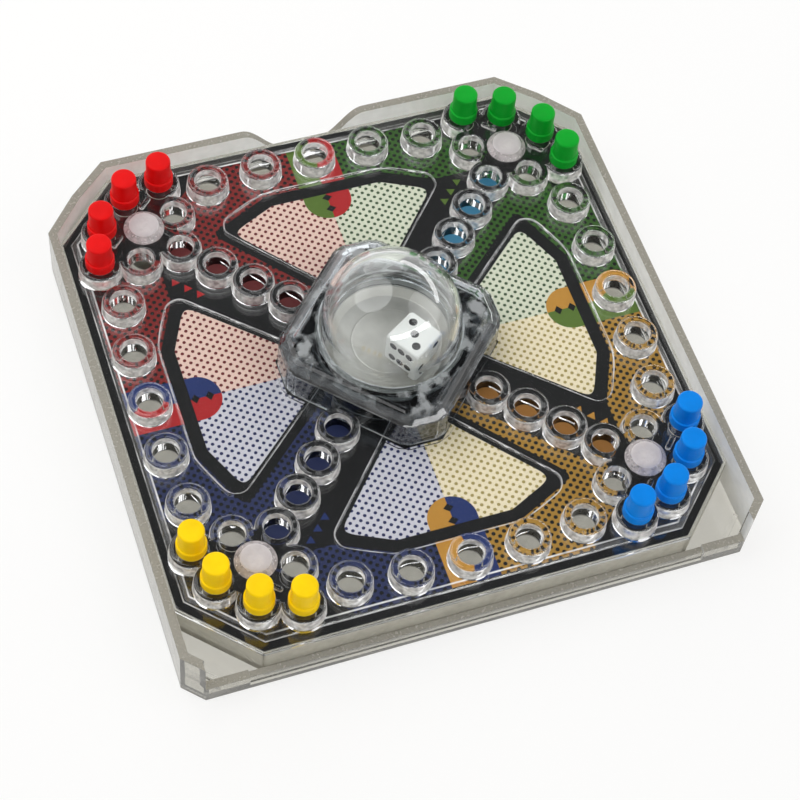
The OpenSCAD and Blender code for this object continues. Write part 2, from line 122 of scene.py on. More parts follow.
# The same polygon with each corner turned into an arc
def roundedOutline(points, radius, steps=5):
    result = []
    count = len(points)
    for i in range(count):
        before, here, after = (Vector(points[(i + k) % count]) for k in (-1, 0, 1))
        toBefore, toAfter = (before - here).normalized(), (after - here).normalized()
        spread = toBefore.angle(toAfter) / 2
        reach = min(radius / math.tan(spread), (before - here).length / 2.05, (after - here).length / 2.05)
        centre = here + (toBefore + toAfter).normalized() * reach / math.cos(spread)
        start, end = here + toBefore * reach - centre, here + toAfter * reach - centre
        sweep = start.angle_signed(end)
        for k in range(steps + 1):
            result.append(tuple(centre + Matrix.Rotation(-sweep * k / steps, 2) @ start))
    return result


def finishedMesh(bm, name):
    mesh = bpy.data.meshes.new(name)
    bm.to_mesh(mesh)
    bm.free()
    return mesh


# A closed solid through rings of points, in millimetres, with flat ends
def loftMesh(name, rings):
    bm = bmesh.new()
    loops = [[bm.verts.new([c * mm for c in p]) for p in ring] for ring in rings]
    count = len(rings[0])
    for lower, upper in zip(loops, loops[1:]):
        for i in range(count):
            j = (i + 1) % count
            bm.faces.new((lower[i], lower[j], upper[j], upper[i]))
    bm.faces.new(list(reversed(loops[0])))
    bm.faces.new(loops[-1])
    bmesh.ops.recalc_face_normals(bm, faces=bm.faces)
    return finishedMesh(bm, name)


def prismMesh(name, points, low, high):
    return loftMesh(name, [[(x, y, z) for x, y in points] for z in (low, high)])


# A solid turned about Z from a profile of radius and height, in millimetres; the ends lie on the axis
def latheMesh(name, profile, at=(0, 0, 0), segments=64):
    bm = bmesh.new()
    start, end = (bm.verts.new((0, 0, profile[i][1] * mm)) for i in (0, -1))
    rings = []
    for r, z in profile[1:-1]:
        angles = [2 * math.pi * k / segments for k in range(segments)]
        rings.append([bm.verts.new((r * math.cos(a) * mm, r * math.sin(a) * mm, z * mm)) for a in angles])
    for i in range(segments):
        j = (i + 1) % segments
        bm.faces.new((start, rings[0][j], rings[0][i]))
        for lower, upper in zip(rings, rings[1:]):
            bm.faces.new((lower[i], lower[j], upper[j], upper[i]))
        bm.faces.new((end, rings[-1][i], rings[-1][j]))
    bmesh.ops.recalc_face_normals(bm, faces=bm.faces)
    bmesh.ops.translate(bm, verts=bm.verts, vec=[c * mm for c in at])
    return finishedMesh(bm, name)


# A round column, in millimetres
def columnMesh(name, radius, low, high, at=(0, 0), segments=64):
    return latheMesh(name, [(0, low), (radius, low), (radius, high), (0, high)], (*at, 0), segments)


# A ball's profile from its foot to its top
def ballProfile(radius, steps):
    angles = [math.pi * (k / steps - 0.5) for k in range(1, steps)]
    return [(0, -radius)] + [(radius * math.cos(a), radius * math.sin(a)) for a in angles] + [(0, radius)]


# A quarter of a circle as profile points: a solid's rounded top, or a hole's flared mouth
def quarterArc(radius, height, size, steps=5, outward=True):
    angles = [math.pi / 2 * k / steps for k in range(steps + 1)]
    side = 1 if outward else -1
    return [(radius + side * size * (math.cos(a) - 1), height - size * (1 - math.sin(a))) for a in angles]


def newObject(name, data):
    made = bpy.data.objects.new(name, data)
    bpy.context.scene.collection.objects.link(made)
    return made


# The object's mesh with its modifiers applied, and none left
def settle(made):
    bpy.context.view_layer.update()
    mesh = bpy.data.meshes.new_from_object(made.evaluated_get(bpy.context.evaluated_depsgraph_get()))
    made.modifiers.clear()
    made.data = mesh
    return made


# Starts a tree of geometry nodes with named inputs; endTree makes the result real and sets its material
def startTree(name, sockets):
    tree = bpy.data.node_groups.new(name, "GeometryNodeTree")
    ids = {}
    for label, kind in {"Geometry": "Geometry", **sockets, "Finish": "Material"}.items():
        socket = tree.interface.new_socket(label, in_out="INPUT", socket_type="NodeSocket" + kind)
        ids[label] = socket.identifier
    tree.interface.new_socket("Geometry", in_out="OUTPUT", socket_type="NodeSocketGeometry")
    return tree, ids, nodeAdder(tree, "GeometryNode"), tree.nodes.new("NodeGroupInput").outputs


def endTree(tree, ids, add, start, geometry):
    real = add("RealizeInstances", geometry)
    finished = add("SetMaterial", named={"Geometry": real, "Material": start["Finish"]})
    tree.links.new(finished, tree.nodes.new("NodeGroupOutput").inputs[0])
    return tree, ids


# Runs a tree on an object, with its inputs set by their identifiers, and keeps the plain mesh
def runTree(made, tree, ids, **values):
    modifier = made.modifiers.new("nodes", "NODES")
    modifier.node_group = tree
    for label, value in values.items():
        modifier[ids[label]] = value
    return settle(made)


def pointsObject(name, points):
    mesh = bpy.data.meshes.new(name)
    mesh.from_pydata([[c * mm for c in p] for p in points], [], [])
    return newObject(name, mesh)


# One solid from a first mesh and steps of union and difference
def solidFrom(name, first, steps):
    made = newObject(name, first)
    tools = []
    for operation, mesh in steps:
        tool = newObject(name + "Tool", mesh)
        tool.hide_render = True
        tools.append(tool)
        modifier = made.modifiers.new(operation, "BOOLEAN")
        modifier.operation, modifier.solver, modifier.object = operation, "MANIFOLD", tool
        modifier.material_mode = "TRANSFER"
    settle(made)
    for tool in tools:
        bpy.data.objects.remove(tool)
    return made


# Rounds the outward edges over an angle, then shades smooth up to it
def soften(made, width, segments=2, angle=32):
    if width:
        bm = bmesh.new()
        bm.from_mesh(made.data)
        weights = bm.edges.layers.float.new("bevel_weight_edge")
        for edge in bm.edges:
            edge[weights] = float(edge.is_convex and edge.calc_face_angle(0) > math.radians(angle))
        bm.to_mesh(made.data)
        bm.free()
        bevel = made.modifiers.new("softEdges", "BEVEL")
        bevel.width, bevel.segments, bevel.limit_method = width * mm, segments, "WEIGHT"
        settle(made)
    bm = bmesh.new()
    bm.from_mesh(made.data)
    bmesh.ops.remove_doubles(bm, verts=bm.verts, dist=0.0005 * mm)
    for face in bm.faces:
        face.smooth = True
    for edge in bm.edges:
        edge.smooth = len(edge.link_faces) == 2 and edge.calc_face_angle() < math.radians(angle)
    bm.to_mesh(made.data)
    bm.free()
    weighted = made.modifiers.new("flatFaces", "WEIGHTED_NORMAL")
    weighted.keep_sharp, weighted.weight = True, 100
    return settle(made)


def place(made, material, body, slot, *nodes):
    if material:
        made.data.materials.clear()
        made.data.materials.append(material)
    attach(made, body)
    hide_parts(*nodes)
    return made


# Sizes that several pieces share, in millimetres

def topOf(node):
    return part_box(node)[1].z / mm


def footOf(node):
    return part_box(node)[0].z / mm


cardTop = topOf("printed_card")
board = {
    "cut": 17.0, "airGap": 0.05, "rimWidth": 2.8, "rimSlope": 1.6, "rimTop": cardTop + 0.8,
    "deckTop": cardTop + 1.6, "ringTop": cardTop + 5.6, "housingFlat": 23.5, "housingTip": 28.2,
    "housingCorner": 0.6, "postPlace": 23.0,
    # distances of the spaces and studs from the two nearest edges
    "trackPitch": 14.9, "trackIn": 9.2, "trackEndIn": 10.5, "cornerIn": (18.1, 30.1),
    "homeIn": 28.9, "homePitch": 7.5, "startIn": ((7.8, 28.9), (10.9, 19.0)), "studIn": 21.3,
}
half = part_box("base_pan")[1].x / mm
cornerReach = (2 * half - board["cut"]) / math.sqrt(2)     # the cut corner's distance from the middle
trackRow = [(k * board["trackPitch"], half - (board["trackEndIn"] if abs(k) == 2 else board["trackIn"]))
            for k in range(-2, 3)]
cornerSpaces = [tuple(half - c for c in pair) for pair in (board["cornerIn"], board["cornerIn"][::-1])]
homeSpaces = [(half - board["homeIn"] - board["homePitch"] * k,) * 2 for k in range(4)]
outerStart, innerStart = (tuple(half - c for c in pair) for pair in board["startIn"])
startSpaces = [outerStart, innerStart, innerStart[::-1], outerStart[::-1]]
studPlaces = atQuarters([(half - board["studIn"],) * 2])
postPlaces = atQuarters([(board["postPlace"], 0)])

# The sunk panel at the back, as lines for its right half: the angles of their normals and their distances
panel = {"outerIn": 15.8, "facetAt": 17.0, "facetTurn": 24.7, "side": 9.2, "sideTurn": -42, "innerIn": 30.7,
         "innerTurn": 15}


def unitOutline(inset):
    return outlineOf([(a, (cornerReach if a % 90 else half) - inset) for a in range(0, 360, 45)])


def panelSides(grow=0.0):
    outer, turn = half - panel["outerIn"], math.radians(panel["facetTurn"])
    facet = panel["facetAt"] * math.sin(turn) + outer * math.cos(turn)
    return [(90, outer + grow), (90 - panel["facetTurn"], facet + grow),
            (panel["sideTurn"], grow - panel["side"]), (panel["innerTurn"], half - panel["innerIn"] + grow)]


# Materials

# Clear polystyrene, injection moulded and polished: it bends what is behind it, mirrors the lights at its
# edges, and carries faint waves and rub marks. Lamps shine through it, as through any thin clear part.
# A face may carry a whitish haze on its outside: on some pieces mould marks, on others painted highlights
# and painted light.
def clearPlastic(name, tint, roughness, waves, rubs, haze=None, milk="#f2efec"):
    material, add = newMaterial(name)
    position = add("TexCoord", output=3)
    wave = noise(add, position, 9, 2.0)
    rub = noise(add, position, 0.9, 5.0)
    height = add("Math MULTIPLY", wave, waves)
    bump = bumps(add, add("Math MULTIPLY_ADD", rub, rubs, height), 0.1)
    cloud = add("MapRange", rub, 0.35, 0.75, roughness, roughness * 3)
    plastic = add("BsdfPrincipled", named={
        "Base Color": linearColour(tint), "Roughness": cloud, "IOR": 1.59,
        "Transmission Weight": 1.0, "Normal": bump})
    if haze:
        outside = add("Math SUBTRACT", 1.0, add("NewGeometry", output=6))
        share = add("Math MULTIPLY", haze(add, position), outside, use_clamp=True)
        plastic = add("MixShader", share, plastic, add("BsdfDiffuse", linearColour(milk)))
    straight = add("BsdfTransparent", linearColour(tint))
    add("OutputMaterial", add("MixShader", add("LightPath", output="Is Shadow Ray"), plastic, straight))
    return material


# A haze in soft clouds: its least and its greatest share, and the clouds' size in millimetres
def clouds(least, most, size):
    def share(add, position):
        return add("MapRange", noise(add, position, size, 3.0), 0.35, 0.65, least, most)
    return share


# 1 where a value, in metres, is within a width in millimetres of a place in millimetres, with soft ends
def lineAt(add, value, at, width):
    near = add("Math ABSOLUTE", add("Math ADD", value, -at * mm))
    return add("MapRange", near, 0.8 * width * mm, 0.3 * width * mm)


# How far a point lies beyond a line, which is given by its normal's angle and its distance
def beyondLine(add, aside, out, degrees, distance):
    nx, ny = turned((1, 0), degrees)
    return add("Math MULTIPLY_ADD", aside, nx, add("Math MULTIPLY_ADD", out, ny, -distance))


# The greatest of several values
def greatest(add, *values):
    result = values[0]
    for value in values[1:]:
        result = add("Math MAXIMUM", result, value)
    return result


# How level a face is: 1 on a top or a floor, 0 on an upright wall
def levelness(add):
    return add("Math ABSOLUTE", add("SeparateXYZ", add("NewGeometry", output=1), output=2))


# The deck's painted highlights: thin whitish lines along the two edges of the rim's slope and round the
# sunk panels
def deckPaintedHighlights(add, position):
    x, y, z = (add("SeparateXYZ", position, output=i) for i in range(3))
    x, y = (add("Math ABSOLUTE", v) for v in (x, y))
    slant = add("Math MULTIPLY_ADD", add("Math ADD", x, y), 1 / math.sqrt(2), (half - cornerReach) * mm)
    out, aside = add("Math MAXIMUM", x, y), add("Math MINIMUM", x, y)
    rim = add("Math MAXIMUM", out, slant)
    upper = lineAt(add, rim, half - board["rimWidth"] - board["rimSlope"] + 0.1, 0.4)
    lower = add("Math MULTIPLY", lineAt(add, rim, half - board["rimWidth"], 0.26), 0.6)
    inside = None
    for degrees, distance in panelSides():
        side = beyondLine(add, aside, out, degrees, distance * mm)
        inside = side if inside is None else add("Math SMOOTH_MAX", inside, side, 3 * mm)
    edge = add("Math MULTIPLY", lineAt(add, inside, 0.2, 0.24), 0.7)
    low = add("Math LESS_THAN", z, (board["deckTop"] + 0.3) * mm)
    # painted highlight lines, broken up by clouds
    highlightLines = add("Math MULTIPLY", greatest(add, upper, lower, edge), clouds(0.15, 0.85, 7)(add, position))
    return add("Math MULTIPLY", highlightLines, low)


# The pan's haze: its upright walls are scuffed by the tray, and its floor stays clearer
def panHaze(add, position):
    scuffed, clearer = clouds(0.5, 0.7, 5)(add, position), clouds(0.1, 0.25, 5)(add, position)
    return add("MapRange", levelness(add), 0.3, 0.7, scuffed, clearer)


# The housing's haze: marbled on its level faces, partly wear and partly painted reflection; frosted round
# the four screw posts;
# and thin lines of painted highlight at its foot, its shoulder and the lip round the dome (heights and
# radii in millimetres)
housingHighlightsAndFrost = {"shoulder": 20.9, "lip": 18.1, "lipAbove": 23.1, "frostRadius": 2.4, "frostShare": 0.6}


def housingHazeAndHighlights(add, position):
    marks = housingHighlightsAndFrost
    # the marbled haze on level faces is partly wear and partly painted reflection
    marble = clouds(-0.5, 0.5, 4)(add, position)
    top = add("Math MULTIPLY", marble, add("MapRange", levelness(add), 0.6, 0.95))
    flat = add("VectorMath MULTIPLY", position, (1, 1, 0))
    quarter = add("VectorMath ABSOLUTE", flat)
    reach = board["postPlace"] * mm
    near = [add("VectorMath DISTANCE", quarter, post, output=1) for post in ((reach, 0, 0), (0, reach, 0))]
    ragged = add("Math MULTIPLY_ADD", marble, -4 * mm, add("Math MINIMUM", *near))
    frost = add("MapRange", ragged, marks["frostRadius"] * mm, 0.6 * mm, 0.0, marks["frostShare"])
    height = add("SeparateXYZ", position, output=2)
    # painted highlight lines at the foot, the shoulder and the lip round the dome
    foot = lineAt(add, height, board["deckTop"] + 0.3, 0.5)
    shoulder = add("Math MULTIPLY", lineAt(add, height, marks["shoulder"], 0.3), 0.6)
    lip = lineAt(add, add("VectorMath LENGTH", flat, output=1), marks["lip"], 0.5)
    above = add("Math GREATER_THAN", height, marks["lipAbove"] * mm)
    lines = greatest(add, foot, shoulder, add("Math MULTIPLY", lip, above))
    paintedHighlights = add("Math MULTIPLY", lines, clouds(0.1, 0.8, 5)(add, position))
    return greatest(add, top, frost, paintedHighlights)


# Moulded plastic that light doesn't pass: a soft shine, a fine texture and slightly rubbed high spots
def mouldedPlastic(name, colour, roughness, grain, speck=0.06):
    material, add = newMaterial(name)
    position = add("TexCoord", output=3)
    fine, broad = noise(add, position, 0.35, 4.0), noise(add, position, 4, 2.0)
    bump = bumps(add, fine, grain)
    shade = add("MapRange", broad, 0.3, 0.7, 1 - speck, 1 + speck)
    base = add("MixRGB", 1.0, linearColour(colour), shade, blend_type="MULTIPLY")
    shine = add("MapRange", fine, 0.3, 0.7, roughness * 0.8, roughness * 1.25)
    add("OutputMaterial", add("BsdfPrincipled", named={
        "Base Color": base, "Roughness": shine, "IOR": 1.5, "Specular IOR Level": 0.12, "Normal": bump}))
    return material


# Spring steel, rolled and fine-brushed: a grey metal with concentric polish marks
def springSteel():
    material, add = newMaterial("springSteel")
    position = add("TexCoord", output=3)
    radius = add("VectorMath LENGTH", add("VectorMath MULTIPLY", position, (1, 1, 0)), output=1)
    lines = add("TexNoise", named={"W": add("Math MULTIPLY", radius, 1 / (0.3 * mm)),
                                   "Scale": 1.0, "Detail": 3.0}, noise_dimensions="1D")
    blotch = noise(add, position, 6, 3.0)
    colour = add("MixRGB", blotch, linearColour("#a9a7a1"), linearColour("#dddbd4"))
    shine = add("MapRange", lines, 0.3, 0.7, 0.3, 0.5)
    add("OutputMaterial", add("BsdfPrincipled", named={
        "Base Color": colour, "Roughness": shine, "Metallic": 1.0, "Normal": bumps(add, lines, 0.02, 0.4)}))
    return material


printColours = {
    # by corner: back left, back right, front right, front left
    "field": ("#7f211e", "#335b1d", "#a57d31", "#262f56"),
    "pale": ("#e4c6b8", "#d3d6c1", "#e9dcbe", "#cac8d0"),
    "paleDot": ("#6b2226", "#41553a", "#a39359", "#252a56"),
    "spot": ("#a91d20", "#556f29", "#b98634", "#1e3066"),
    # home disc colours are the print darkened further: painted shade for the bores above them
    "home": ("#561b1c", "#306a87", "#835823", "#182143"),
    "ink": "#0c0c0e",
}
printSizes = {
    "dotAcross": 2.7, "dotUp": 2.1, "fieldDot": 0.52, "paleDot": 0.45,
    "panelLines": ((90, 51.6), (65.3, 53.1), (-41.6, -9.96)), "panelRound": 5.0,
    "inkLine": 3.4, "lane": 4.5, "laneEnd": 48.5, "corner": 69.0, "border": 67.3,
    "spotPlace": 50.0, "spotRadius": 6.3, "homeFirst": 28.0, "homeStep": 10.607, "homeRadius": 3.4,
    "homeFrom": 22.7, "homeTo": 65.1, "wedgeAt": 46.2, "wedgeStep": 3.67, "wedgeHalf": 1.83,
    "wedgeLength": 5.5, "wedgeFrom": 48.0, "wedgeTo": 59.0, "laneInside": 7.2, "diamonds": (46.7, 50.4),
    "diamondSize": 1.1,
}


def byCorner(add, x, y, codes):
    backLeft, backRight, frontRight, frontLeft = (linearColour(c) for c in codes)
    right = add("Math GREATER_THAN", x, 0.0)
    back = add("Math GREATER_THAN", y, 0.0)
    return add("MixRGB", back, add("MixRGB", right, frontLeft, frontRight),
               add("MixRGB", right, backLeft, backRight))


# Dots in staggered rows, as a printer's screen; 1 inside a dot
def screenDots(add, flat, radius):
    sizes = (printSizes["dotAcross"], printSizes["dotUp"], 1)
    cells = add("VectorMath DIVIDE", flat, sizes)
    nearest = []
    for shift in ((0, 0, 0), (0.5, 0.5, 0)):
        moved = add("VectorMath ADD", cells, shift)
        inCell = add("VectorMath SUBTRACT", add("VectorMath FRACTION", moved), (0.5, 0.5, 0))
        away = add("VectorMath MULTIPLY", inCell, sizes)
        nearest.append(add("VectorMath LENGTH", away, output=1))
    return add("Math LESS_THAN", add("Math MINIMUM", *nearest), radius)


# Offset-printed card under a gloss varnish: four dotted fields, pale dotted panels with a heavy ink line,
# dark lanes to the middle, and a two-coloured spot with small diamonds in each panel
def printedCard():
    sizes, codes = printSizes, printColours
    material, add = newMaterial("printedCard")
    position = add("VectorMath SCALE", add("TexCoord", output=3), named={"Scale": 1 / mm})
    x, y = (add("SeparateXYZ", position, output=i) for i in (0, 1))
    flat = add("CombineXYZ", x, y)
    sizeX, sizeY = (add("Math ABSOLUTE", v) for v in (x, y))
    out = add("Math MAXIMUM", sizeX, sizeY)
    level = add("Math GREATER_THAN", sizeY, sizeX)     # 1 in the back and front sides
    alongY = add("Math MULTIPLY", y, add("Math SIGN", x))
    alongX = add("Math MULTIPLY", x, add("Math SIGN", y))
    back = add("Math MULTIPLY", alongY, -1.0)
    along = add("Mix", level, named={2: back, 3: alongX})           # above 0 on the side with the dark lane
    aside = add("Math ABSOLUTE", along)
    diagonal, across = (
        add("Math MULTIPLY", add("Math", *pair, operation=kind), 1 / math.sqrt(2))
        for pair, kind in (((sizeX, sizeY), "ADD"), ((out, aside), "SUBTRACT")))
    outer, facet, side = (beyondLine(add, aside, out, *line) for line in sizes["panelLines"])
    pane = add("Math SMOOTH_MAX", add("Math MAXIMUM", outer, facet), side, sizes["panelRound"])

    # 1 where every value lies between its two limits
    def inside(*ranges):
        result = 1.0
        for value, low, high in ranges:
            for limit, operation in ((low, "GREATER_THAN"), (high, "LESS_THAN")):
                if limit is not None:
                    mask = add("Math", value, limit, operation=operation)
                    result = add("Math MULTIPLY", result, mask)
        return result

    ink = linearColour(codes["ink"])
    colours = {key: byCorner(add, x, y, codes[key]) for key in ("field", "pale", "paleDot", "spot", "home")}
    field = add("MixRGB", screenDots(add, flat, sizes["fieldDot"]), colours["field"], ink)
    pale = add("MixRGB", screenDots(add, flat, sizes["paleDot"]), colours["pale"], colours["paleDot"])

    # dark lanes beside the home spaces, with a few small wedges
    lane = greatest(add, inside((across, None, sizes["lane"])),
                    inside((along, 0.0, None), (out, None, sizes["laneEnd"])))
    step = add("Math ADD", diagonal, sizes["wedgeHalf"] - sizes["wedgeAt"])
    step = add("Math ADD", add("Math MODULO", step, sizes["wedgeStep"]), -sizes["wedgeHalf"])
    step = add("Math ABSOLUTE", step)
    width = add("Math MULTIPLY_ADD", across, -0.6, sizes["wedgeLength"])
    wedge = inside((step, None, width), (across, sizes["laneInside"], None), (along, 0.0, None),
                   (diagonal, sizes["wedgeFrom"], sizes["wedgeTo"]))

    # coloured discs in the home spaces, in print colours darkened with painted shade
    homeStep = sizes["homeStep"]
    away = add("Math ADD", diagonal, homeStep / 2 - sizes["homeFirst"])
    away = add("Math ADD", add("Math MODULO", away, homeStep), -homeStep / 2)
    away = add("VectorMath LENGTH", add("CombineXYZ", away, across), output=1)
    disc = inside((away, None, sizes["homeRadius"]), (diagonal, sizes["homeFrom"], sizes["homeTo"]))

    # the two-coloured spot that runs out of the panel to the middle space
    spotOut = add("Math ADD", out, -sizes["spotPlace"])
    inner = add("Math MINIMUM", spotOut, 0.0)
    spotAway = add("VectorMath LENGTH", add("CombineXYZ", aside, inner), output=1)
    spot = inside((spotAway, None, sizes["spotRadius"]))
    swapped = [add("Math MULTIPLY", v, add("Mix", level, named={2: side, 3: -side}))
               for v, side in ((x, 1.0), (y, -1.0))]
    spotColour = byCorner(add, *swapped, codes["spot"])
    marks = []
    for middle in sizes["diamonds"]:
        offset = add("Math ABSOLUTE", add("Math ADD", out, -middle))
        reach = add("Math MULTIPLY_ADD", aside, 0.8, offset)
        marks.append(inside((reach, None, sizes["diamondSize"])))
    spotColour = add("MixRGB", greatest(add, *marks), spotColour, ink)

    colour = add("MixRGB", lane, field, ink)
    colour = add("MixRGB", wedge, colour, colours["spot"])
    colour = add("MixRGB", disc, colour, colours["home"])
    colour = add("MixRGB", spot, colour, spotColour)
    colour = add("MixRGB", inside((pane, None, sizes["inkLine"])), colour, ink)
    colour = add("MixRGB", inside((pane, None, 0.0)), colour, add("MixRGB", spot, pale, spotColour))
    middle = inside((out, None, board["housingTip"]), (diagonal, None, board["housingFlat"]))
    outside = [inside((diagonal, sizes["corner"], None)), inside((out, sizes["border"], None))]
    edge = greatest(add, *outside, middle)
    colour = add("MixRGB", edge, colour, ink)
    grain = add("TexNoise", named={"Vector": position, "Scale": 3.0, "Detail": 3.0})
    shade = add("MapRange", grain, 0.3, 0.7, 0.93, 1.05)
    colour = add("MixRGB", 1.0, colour, shade, blend_type="MULTIPLY")

    # only the top is printed; the edges and the back are bare board
    up = add("SeparateXYZ", add("NewGeometry", output=1), output=2)
    colour = add("MixRGB", inside((up, 0.5, None)), linearColour("#8c8a84"), colour)
    add("OutputMaterial", add("BsdfPrincipled", named={
        "Base Color": colour, "Roughness": 0.45, "IOR": 1.5, "Specular IOR Level": 0.2}))
    return material


print("materials")
clearTray = clearPlastic("clearTray", "#d6d4cc", 0.05, 0.5, 0.03)
trayWall = clearPlastic("trayWall", "#d6d4cc", 0.05, 0.5, 0.03, clouds(0.2, 0.35, 6), "#c9c7c0")
# the tray's inner faces carry a whiter haze than its outer faces: painted light for lamplight shining
# through the walls
trayInsidePaintedLight = clearPlastic("trayInsidePaintedLight", "#e2e1da", 0.05, 0.5, 0.03, clouds(0.6, 0.8, 9), "#f2f2ef")
trayRim = clearPlastic("trayRim", "#d6d4cc", 0.12, 0.5, 0.1, clouds(0.75, 0.9, 0.5), "#8f8b80")
# the deck's haze is painted highlight lines on its rim slope and round its sunk panels
clearDeck = clearPlastic("clearDeck", "#fcfdfd", 0.012, 0.25, 0.015, deckPaintedHighlights, "#fafafa")
deckWall = clearPlastic("deckWall", "#fcfdfd", 0.03, 0.25, 0.04, clouds(0.3, 0.75, 1.4))
# the housing's haze holds painted highlight lines and a partly painted reflection on its top
clearHousing = clearPlastic("clearHousing", "#b9bec2", 0.02, 0.8, 0.04, housingHazeAndHighlights, "#b9bcbd")
clearDome = clearPlastic("clearDome", "#f6f8f8", 0.01, 0.1, 0.01)
clearPan = clearPlastic("clearPan", "#f3f3f0", 0.03, 0.3, 0.03, panHaze, "#bcb8ab")
meltedRim = clearPlastic("meltedRim", "#eeeaea", 0.12, 1.5, 0.5, clouds(0.35, 0.75, 1.6), "#cfc6c6")
whiteDie = mouldedPlastic("whiteDie", "#e2e2df", 0.25, 0.004, 0.02)
blackSpot = mouldedPlastic("blackSpot", "#16171a", 0.35, 0.004)
screwSteel = mouldedPlastic("screwSteel", "#7b7b7d", 0.35, 0.01)
cardPrint = printedCard()
steel = springSteel()


# Heat-set polystyrene studs: milky where the plastic was melted over
def milkyStud():
    material, add = newMaterial("milkyStud")
    position = add("TexCoord", output=3)
    melt = noise(add, position, 1.6, 4.0)
    bump = bumps(add, melt, 0.25)
    colour = add("MixRGB", melt, linearColour("#d8cfd0"), linearColour("#ece6e6"))
    add("OutputMaterial", add("BsdfPrincipled", named={
        "Base Color": colour, "Roughness": 0.38, "IOR": 1.55, "Transmission Weight": 0.35, "Normal": bump}))
    return material


studPlastic = milkyStud()

# Deck
print("deck")

ring = {"radius": 5.4, "footRadius": 5.7, "round": 0.9, "bore": 3.3, "lip": 0.5, "wallFrom": 1.8}
deck = {
    "panelDepth": 0.5, "panelRound": 3.2, "edgeRound": 0.35, "land": 1.0, "lipDrop": 0.5, "lipWall": 0.6,
    "rimRound": 0.25, "studHole": 2.05, "postHole": 2.7, "middleHole": 7.4,
    "barLength": 4.4, "barWidth": 1.4, "barHeight": 0.8, "barIn": 14.3, "barSide": 7.0, "barSunk": 0.1,
}


def ringMesh():
    top, foot = board["ringTop"], cardTop + board["airGap"]
    profile = [(0, foot), (ring["footRadius"], foot), (ring["footRadius"], board["deckTop"]),
               (ring["footRadius"] - 0.08, board["deckTop"] + 0.5)]
    profile += quarterArc(ring["radius"], top, ring["round"]) + [(0, top)]
    return latheMesh("ringSolid", profile)


def boreMesh():
    top, low = board["ringTop"], cardTop - 2
    profile = [(0, low), (ring["bore"], low), (ring["bore"], board["deckTop"] + ring["wallFrom"])]
    profile += quarterArc(ring["bore"], top, ring["lip"], outward=False)
    return latheMesh("boreTool", profile + [(ring["bore"] + ring["lip"], top + 1), (0, top + 1)])


# Sets the ring on every space and joins it to the deck, then takes the bores away
def ringTree():
    inputs = {name: "Object" for name in ("Spaces", "Ring", "Bore")}
    tree, ids, add, start = startTree("ringsAndBores", inputs)
    spaces = add("ObjectInfo", named={"Object": start["Spaces"]}, output=4)
    rings, bores = (
        add("InstanceOnPoints", named={
            "Points": spaces, "Instance": add("ObjectInfo", named={"Object": start[label]}, output=4)})
        for label in ("Ring", "Bore"))
    joined = add("MeshBoolean UNION", named={"Mesh 2": start["Geometry"]}, solver="MANIFOLD")
    tree.links.new(rings, joined.node.inputs["Mesh 2"])
    bored = add("MeshBoolean DIFFERENCE", named={"Mesh 1": joined, "Mesh 2": bores}, solver="MANIFOLD")
    return endTree(tree, ids, add, start, bored)


def housingLines(inset):
    tip, flat, turn = board["housingTip"], board["housingFlat"], math.radians(22.5)
    corner = tip * math.cos(turn) + (flat * math.sqrt(2) - tip) * math.sin(turn) - board["housingCorner"]
    sides = (tip, corner, flat, corner) * 4
    return [(22.5 * k, side - inset) for k, side in enumerate(sides)]


def panelLines(grow):
    sides = panelSides(grow)
    return sides[:1] + [line for a, d in sides[1:] for line in ((a, d), (180 - a, d))]


def panelTool(degrees):
    low, high = board["deckTop"] - deck["panelDepth"], board["deckTop"]
    size = deck["edgeRound"]
    levels = [(low, -0.35), (low + 0.06, -0.16), (low + 0.2, -0.03), (high - 0.25, 0.0)]
    levels += [(high - size * 0.4 * (1 - math.sin(a)), size * (1 - math.cos(a)))
               for a in (math.pi / 2 * k / 4 for k in range(1, 5))]
    levels += [(high + 1, size)]
    rings = []
    for z, grow in levels:
        points = roundedOutline(outlineOf(panelLines(grow)), deck["panelRound"] + grow)
        rings.append([(*turned(p, degrees), z) for p in points])
    land = outlineOf(housingLines(-deck["land"]))
    block = prismMesh("land", land, cardTop, board["deckTop"] + 3)
    return solidFrom("panelTool", loftMesh("panel", rings), [("DIFFERENCE", block)])


def deckBody():
    foot, rim, top = cardTop + board["airGap"], board["rimTop"], board["deckTop"]
    lipLow = foot - deck["lipDrop"]
    rounding = deck["rimRound"]
    plate = loftMesh("rimPlate", [[(x, y, z) for x, y in unitOutline(i)] for i, z in (
        (0, lipLow), (0, rim - rounding), (rounding * 0.3, rim - rounding * 0.3), (rounding, rim))])
    pocket = prismMesh("cardPocket", unitOutline(deck["lipWall"]), lipLow - 1, foot)
    slope = [(0, foot + 0.01), (0, rim), (0.12, rim + 0.17), (0.4, rim + 0.4), (0.85, rim + 0.6),
             (1.25, top - 0.06), (board["rimSlope"], top)]
    middle = loftMesh("middle", [[(x, y, z) for x, y in unitOutline(board["rimWidth"] + i)]
                                 for i, z in slope])
    steps = [("UNION", middle), ("DIFFERENCE", pocket)]
    plateau = startSpaces + [cornerSpaces[1], homeSpaces[0], cornerSpaces[0]]
    for degrees in quarters:
        points = [turned(p, degrees) for p in plateau]
        steps.append(("UNION", prismMesh("plateau", points, foot + 0.02, board["ringTop"])))
    block = prismMesh("standing", outlineOf(housingLines(-0.2)), top, board["ringTop"] + 3)
    return solidFrom("deckBody", plate, steps), block


